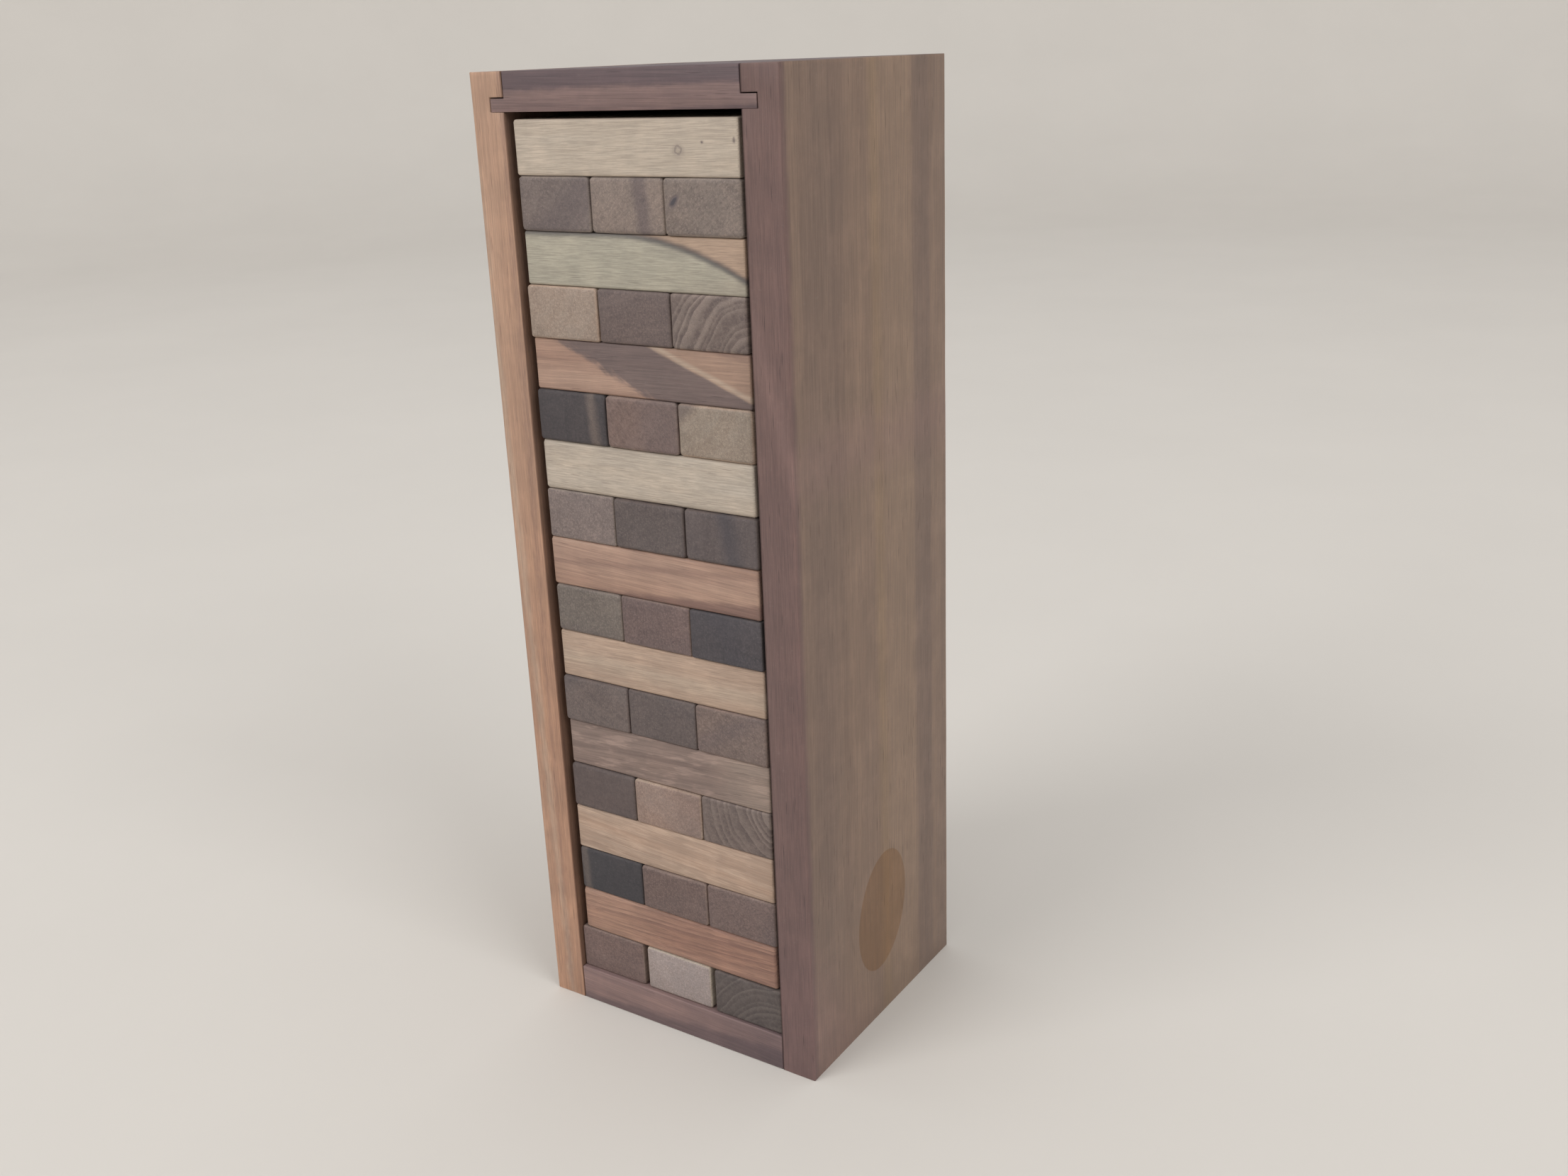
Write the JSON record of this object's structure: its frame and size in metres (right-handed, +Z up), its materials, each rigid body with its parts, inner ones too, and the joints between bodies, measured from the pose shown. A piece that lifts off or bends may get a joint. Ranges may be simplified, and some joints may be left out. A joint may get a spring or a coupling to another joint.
{
  "type": "tumbling tower game in a wooden box",
  "caption": "Stacking game of plain hardwood blocks standing in an open-fronted upright wooden box whose lid board slides forward in grooves.",
  "frame": {"origin": "middle of the box's underside, on the surface it stands on", "axes": "+Z up along the box's height, -Y out of the open front, +X to the right seen from the front"},
  "size_m": [0.1026, 0.088, 0.296],
  "materials": {
    "board_tan": "light tan-brown hardwood board, thin satin finish, grain upright",
    "board_rosy": "rosy brown hardwood board, thin satin finish, grain upright",
    "board_brown": "brown hardwood board with some darker bands, thin satin finish",
    "board_purple_brown": "purple-brown hardwood lid board, thin satin finish",
    "block_pale": "pale sapwood block, sanded bare wood",
    "block_tan": "tan hardwood block, sanded bare wood",
    "block_orange": "orange-brown hardwood block, sanded bare wood",
    "block_brown": "mid-brown hardwood block, sanded bare wood",
    "block_dark": "dark-brown heartwood block, sanded bare wood"
  },
  "bodies": {
    "box": {"side_left": "board_tan", "side_right": "board_rosy", "back_panel": "board_brown", "floor_board": "board_brown"},
    "lid": {"sliding_lid": "board_purple_brown"},
    "block_01_left_body": {"block_01_left": "block_brown"},
    "block_01_centre_body": {"block_01_centre": "block_pale"},
    "block_01_right_body": {"block_01_right": "block_brown"},
    "block_02_front_body": {"block_02_front": "block_orange"},
    "block_02_middle_body": {"block_02_middle": "block_tan"},
    "block_02_back_body": {"block_02_back": "block_brown"},
    "block_03_left_body": {"block_03_left": "block_dark"},
    "block_03_centre_body": {"block_03_centre": "block_brown"},
    "block_03_right_body": {"block_03_right": "block_brown"},
    "block_04_front_body": {"block_04_front": "block_tan"},
    "block_04_middle_body": {"block_04_middle": "block_brown"},
    "block_04_back_body": {"block_04_back": "block_pale"},
    "block_05_left_body": {"block_05_left": "block_dark"},
    "block_05_centre_body": {"block_05_centre": "block_brown"},
    "block_05_right_body": {"block_05_right": "block_brown"},
    "block_06_front_body": {"block_06_front": "block_brown"},
    "block_06_middle_body": {"block_06_middle": "block_tan"},
    "block_06_back_body": {"block_06_back": "block_orange"},
    "block_07_left_body": {"block_07_left": "block_dark"},
    "block_07_centre_body": {"block_07_centre": "block_dark"},
    "block_07_right_body": {"block_07_right": "block_brown"},
    "block_08_front_body": {"block_08_front": "block_tan"},
    "block_08_middle_body": {"block_08_middle": "block_orange"},
    "block_08_back_body": {"block_08_back": "block_brown"},
    "block_09_left_body": {"block_09_left": "block_brown"},
    "block_09_centre_body": {"block_09_centre": "block_brown"},
    "block_09_right_body": {"block_09_right": "block_dark"},
    "block_10_front_body": {"block_10_front": "block_orange"},
    "block_10_middle_body": {"block_10_middle": "block_pale"},
    "block_10_back_body": {"block_10_back": "block_brown"},
    "block_11_left_body": {"block_11_left": "block_brown"},
    "block_11_centre_body": {"block_11_centre": "block_brown"},
    "block_11_right_body": {"block_11_right": "block_dark"},
    "block_12_front_body": {"block_12_front": "block_pale"},
    "block_12_middle_body": {"block_12_middle": "block_brown"},
    "block_12_back_body": {"block_12_back": "block_tan"},
    "block_13_left_body": {"block_13_left": "block_dark"},
    "block_13_centre_body": {"block_13_centre": "block_brown"},
    "block_13_right_body": {"block_13_right": "block_pale"},
    "block_14_front_body": {"block_14_front": "block_orange"},
    "block_14_middle_body": {"block_14_middle": "block_tan"},
    "block_14_back_body": {"block_14_back": "block_pale"},
    "block_15_left_body": {"block_15_left": "block_pale"},
    "block_15_centre_body": {"block_15_centre": "block_dark"},
    "block_15_right_body": {"block_15_right": "block_brown"},
    "block_16_front_body": {"block_16_front": "block_pale"},
    "block_16_middle_body": {"block_16_middle": "block_brown"},
    "block_16_back_body": {"block_16_back": "block_orange"},
    "block_17_left_body": {"block_17_left": "block_brown"},
    "block_17_centre_body": {"block_17_centre": "block_brown"},
    "block_17_right_body": {"block_17_right": "block_brown"},
    "block_18_front_body": {"block_18_front": "block_pale"},
    "block_18_middle_body": {"block_18_middle": "block_tan"},
    "block_18_back_body": {"block_18_back": "block_brown"}
  },
  "joints": [
    {"name": "box_lid_slide", "type": "slide", "parent": "box", "child": "lid", "axis": [0, -1, 0], "range_m": [0, 0.08]},
    {"name": "draw_01_left", "type": "slide", "parent": "box", "child": "block_01_left_body", "axis": [0, -1, 0], "range_m": [0, 0.08]},
    {"name": "draw_01_centre", "type": "slide", "parent": "box", "child": "block_01_centre_body", "axis": [0, -1, 0], "range_m": [0, 0.08]},
    {"name": "draw_01_right", "type": "slide", "parent": "box", "child": "block_01_right_body", "axis": [0, -1, 0], "range_m": [0, 0.08]},
    {"name": "draw_02_back", "type": "slide", "parent": "box", "child": "block_02_back_body", "axis": [0, -1, 0], "range_m": [0, 0.08]},
    {"name": "draw_02_middle", "type": "slide", "parent": "block_02_back_body", "child": "block_02_middle_body", "axis": [0, -1, 0], "range_m": [0, 0.054]},
    {"name": "draw_02_front", "type": "slide", "parent": "block_02_middle_body", "child": "block_02_front_body", "axis": [0, -1, 0], "range_m": [0, 0.028]},
    {"name": "draw_03_left", "type": "slide", "parent": "box", "child": "block_03_left_body", "axis": [0, -1, 0], "range_m": [0, 0.08]},
    {"name": "draw_03_centre", "type": "slide", "parent": "box", "child": "block_03_centre_body", "axis": [0, -1, 0], "range_m": [0, 0.08]},
    {"name": "draw_03_right", "type": "slide", "parent": "box", "child": "block_03_right_body", "axis": [0, -1, 0], "range_m": [0, 0.08]},
    {"name": "draw_04_back", "type": "slide", "parent": "box", "child": "block_04_back_body", "axis": [0, -1, 0], "range_m": [0, 0.08]},
    {"name": "draw_04_middle", "type": "slide", "parent": "block_04_back_body", "child": "block_04_middle_body", "axis": [0, -1, 0], "range_m": [0, 0.054]},
    {"name": "draw_04_front", "type": "slide", "parent": "block_04_middle_body", "child": "block_04_front_body", "axis": [0, -1, 0], "range_m": [0, 0.028]},
    {"name": "draw_05_left", "type": "slide", "parent": "box", "child": "block_05_left_body", "axis": [0, -1, 0], "range_m": [0, 0.08]},
    {"name": "draw_05_centre", "type": "slide", "parent": "box", "child": "block_05_centre_body", "axis": [0, -1, 0], "range_m": [0, 0.08]},
    {"name": "draw_05_right", "type": "slide", "parent": "box", "child": "block_05_right_body", "axis": [0, -1, 0], "range_m": [0, 0.08]},
    {"name": "draw_06_back", "type": "slide", "parent": "box", "child": "block_06_back_body", "axis": [0, -1, 0], "range_m": [0, 0.08]},
    {"name": "draw_06_middle", "type": "slide", "parent": "block_06_back_body", "child": "block_06_middle_body", "axis": [0, -1, 0], "range_m": [0, 0.054]},
    {"name": "draw_06_front", "type": "slide", "parent": "block_06_middle_body", "child": "block_06_front_body", "axis": [0, -1, 0], "range_m": [0, 0.028]},
    {"name": "draw_07_left", "type": "slide", "parent": "box", "child": "block_07_left_body", "axis": [0, -1, 0], "range_m": [0, 0.08]},
    {"name": "draw_07_centre", "type": "slide", "parent": "box", "child": "block_07_centre_body", "axis": [0, -1, 0], "range_m": [0, 0.08]},
    {"name": "draw_07_right", "type": "slide", "parent": "box", "child": "block_07_right_body", "axis": [0, -1, 0], "range_m": [0, 0.08]},
    {"name": "draw_08_back", "type": "slide", "parent": "box", "child": "block_08_back_body", "axis": [0, -1, 0], "range_m": [0, 0.08]},
    {"name": "draw_08_middle", "type": "slide", "parent": "block_08_back_body", "child": "block_08_middle_body", "axis": [0, -1, 0], "range_m": [0, 0.054]},
    {"name": "draw_08_front", "type": "slide", "parent": "block_08_middle_body", "child": "block_08_front_body", "axis": [0, -1, 0], "range_m": [0, 0.028]},
    {"name": "draw_09_left", "type": "slide", "parent": "box", "child": "block_09_left_body", "axis": [0, -1, 0], "range_m": [0, 0.08]},
    {"name": "draw_09_centre", "type": "slide", "parent": "box", "child": "block_09_centre_body", "axis": [0, -1, 0], "range_m": [0, 0.08]},
    {"name": "draw_09_right", "type": "slide", "parent": "box", "child": "block_09_right_body", "axis": [0, -1, 0], "range_m": [0, 0.08]},
    {"name": "draw_10_back", "type": "slide", "parent": "box", "child": "block_10_back_body", "axis": [0, -1, 0], "range_m": [0, 0.08]},
    {"name": "draw_10_middle", "type": "slide", "parent": "block_10_back_body", "child": "block_10_middle_body", "axis": [0, -1, 0], "range_m": [0, 0.054]},
    {"name": "draw_10_front", "type": "slide", "parent": "block_10_middle_body", "child": "block_10_front_body", "axis": [0, -1, 0], "range_m": [0, 0.028]},
    {"name": "draw_11_left", "type": "slide", "parent": "box", "child": "block_11_left_body", "axis": [0, -1, 0], "range_m": [0, 0.08]},
    {"name": "draw_11_centre", "type": "slide", "parent": "box", "child": "block_11_centre_body", "axis": [0, -1, 0], "range_m": [0, 0.08]},
    {"name": "draw_11_right", "type": "slide", "parent": "box", "child": "block_11_right_body", "axis": [0, -1, 0], "range_m": [0, 0.08]},
    {"name": "draw_12_back", "type": "slide", "parent": "box", "child": "block_12_back_body", "axis": [0, -1, 0], "range_m": [0, 0.08]},
    {"name": "draw_12_middle", "type": "slide", "parent": "block_12_back_body", "child": "block_12_middle_body", "axis": [0, -1, 0], "range_m": [0, 0.054]},
    {"name": "draw_12_front", "type": "slide", "parent": "block_12_middle_body", "child": "block_12_front_body", "axis": [0, -1, 0], "range_m": [0, 0.028]},
    {"name": "draw_13_left", "type": "slide", "parent": "box", "child": "block_13_left_body", "axis": [0, -1, 0], "range_m": [0, 0.08]},
    {"name": "draw_13_centre", "type": "slide", "parent": "box", "child": "block_13_centre_body", "axis": [0, -1, 0], "range_m": [0, 0.08]},
    {"name": "draw_13_right", "type": "slide", "parent": "box", "child": "block_13_right_body", "axis": [0, -1, 0], "range_m": [0, 0.08]},
    {"name": "draw_14_back", "type": "slide", "parent": "box", "child": "block_14_back_body", "axis": [0, -1, 0], "range_m": [0, 0.08]},
    {"name": "draw_14_middle", "type": "slide", "parent": "block_14_back_body", "child": "block_14_middle_body", "axis": [0, -1, 0], "range_m": [0, 0.054]},
    {"name": "draw_14_front", "type": "slide", "parent": "block_14_middle_body", "child": "block_14_front_body", "axis": [0, -1, 0], "range_m": [0, 0.028]},
    {"name": "draw_15_left", "type": "slide", "parent": "box", "child": "block_15_left_body", "axis": [0, -1, 0], "range_m": [0, 0.08]},
    {"name": "draw_15_centre", "type": "slide", "parent": "box", "child": "block_15_centre_body", "axis": [0, -1, 0], "range_m": [0, 0.08]},
    {"name": "draw_15_right", "type": "slide", "parent": "box", "child": "block_15_right_body", "axis": [0, -1, 0], "range_m": [0, 0.08]},
    {"name": "draw_16_back", "type": "slide", "parent": "box", "child": "block_16_back_body", "axis": [0, -1, 0], "range_m": [0, 0.08]},
    {"name": "draw_16_middle", "type": "slide", "parent": "block_16_back_body", "child": "block_16_middle_body", "axis": [0, -1, 0], "range_m": [0, 0.054]},
    {"name": "draw_16_front", "type": "slide", "parent": "block_16_middle_body", "child": "block_16_front_body", "axis": [0, -1, 0], "range_m": [0, 0.028]},
    {"name": "draw_17_left", "type": "slide", "parent": "box", "child": "block_17_left_body", "axis": [0, -1, 0], "range_m": [0, 0.08]},
    {"name": "draw_17_centre", "type": "slide", "parent": "box", "child": "block_17_centre_body", "axis": [0, -1, 0], "range_m": [0, 0.08]},
    {"name": "draw_17_right", "type": "slide", "parent": "box", "child": "block_17_right_body", "axis": [0, -1, 0], "range_m": [0, 0.08]},
    {"name": "draw_18_back", "type": "slide", "parent": "box", "child": "block_18_back_body", "axis": [0, -1, 0], "range_m": [0, 0.08]},
    {"name": "draw_18_middle", "type": "slide", "parent": "block_18_back_body", "child": "block_18_middle_body", "axis": [0, -1, 0], "range_m": [0, 0.054]},
    {"name": "draw_18_front", "type": "slide", "parent": "block_18_middle_body", "child": "block_18_front_body", "axis": [0, -1, 0], "range_m": [0, 0.028]}
  ]
}
